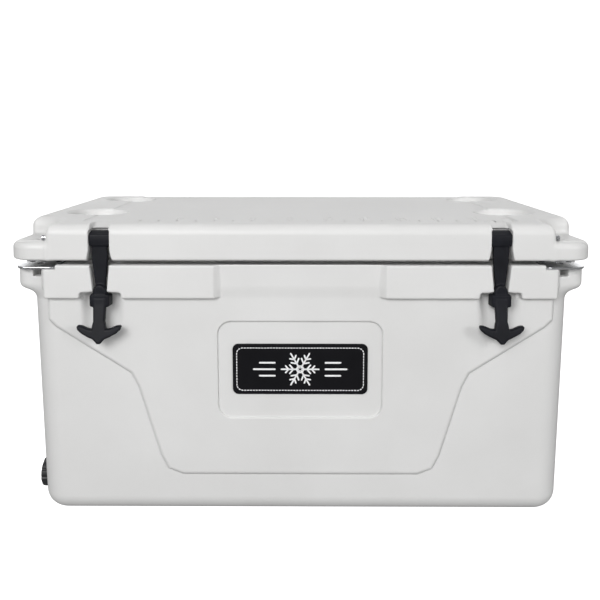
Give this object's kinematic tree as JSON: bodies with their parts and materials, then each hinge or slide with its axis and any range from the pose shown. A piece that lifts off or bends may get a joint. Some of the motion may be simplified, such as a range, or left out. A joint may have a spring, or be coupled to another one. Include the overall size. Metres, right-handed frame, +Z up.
{
  "type": "cooler chest",
  "caption": "Rotomoulded insulated cooler chest with a hinged lid, rubber T latches, cup holders, steel corner lock plates and a screw drain plug.",
  "frame": {"origin": "on the ground under the middle of the chest", "axes": "+X to the right seen from the front, +Y to the back, +Z up"},
  "size_m": [0.77, 0.456, 0.41],
  "materials": {
    "shell": "fine satin grain, light grey",
    "foam": "rigid polyurethane foam",
    "gasket_rubber": "matt black",
    "latch_rubber": "smooth satin black",
    "black_plastic": "satin black",
    "stainless": "polished stainless steel",
    "badge_gloss": "gloss black with a white emblem"
  },
  "bodies": {
    "base": {"base_shell": "shell", "base_foam": "foam", "base_fill_plug": "shell", "foot_front_left": "gasket_rubber", "foot_front_right": "gasket_rubber", "foot_back_left": "gasket_rubber", "foot_back_right": "gasket_rubber", "foot_screws": "stainless", "lock_plate_left": "stainless", "lock_plate_right": "stainless", "lock_plate_screws": "stainless", "drain_hull": "black_plastic", "drain_nut": "black_plastic", "drain_hull_seal": "gasket_rubber", "badge": "badge_gloss", "hinge_pin_left": "stainless", "hinge_pin_right": "stainless"},
    "lid": {"lid_shell": "shell", "lid_foam": "foam", "lid_gasket": "gasket_rubber", "lid_fill_plug": "shell", "latch_pin_left": "stainless", "latch_pin_right": "stainless", "hinge_bush_left": "black_plastic", "hinge_bush_right": "black_plastic"},
    "latch_left": {"latch_left": "latch_rubber"},
    "latch_right": {"latch_right": "latch_rubber"},
    "drain_seal": {"drain_cap_seal": "gasket_rubber"},
    "drain_cap": {"drain_cap": "black_plastic"}
  },
  "joints": [
    {"name": "lid_hinge", "type": "hinge", "parent": "base", "child": "lid", "pos_m": [0, 0.219, 0.359], "axis": [-1, 0, 0], "range_deg": [0, 100]},
    {"name": "latch_left_swing", "type": "hinge", "parent": "lid", "child": "latch_left", "pos_m": [-0.263, -0.196, 0.39], "axis": [-1, 0, 0], "range_deg": [0, 90]},
    {"name": "latch_right_swing", "type": "hinge", "parent": "lid", "child": "latch_right", "pos_m": [0.263, -0.196, 0.39], "axis": [-1, 0, 0], "range_deg": [0, 90]},
    {"name": "drain_cap_slide", "type": "slide", "parent": "base", "child": "drain_seal", "axis": [-1, 0, 0], "range_m": [0, 0.012]},
    {"name": "drain_cap_turn", "type": "hinge", "parent": "drain_seal", "child": "drain_cap", "pos_m": [-0.36, -0.127, 0.035], "axis": [-1, 0, 0], "range_deg": [0, 1081]}
  ],
  "couplings": [
    {"joint": "drain_cap_turn", "follows": "drain_cap_slide", "rad_per_m": 1570.8}
  ]
}
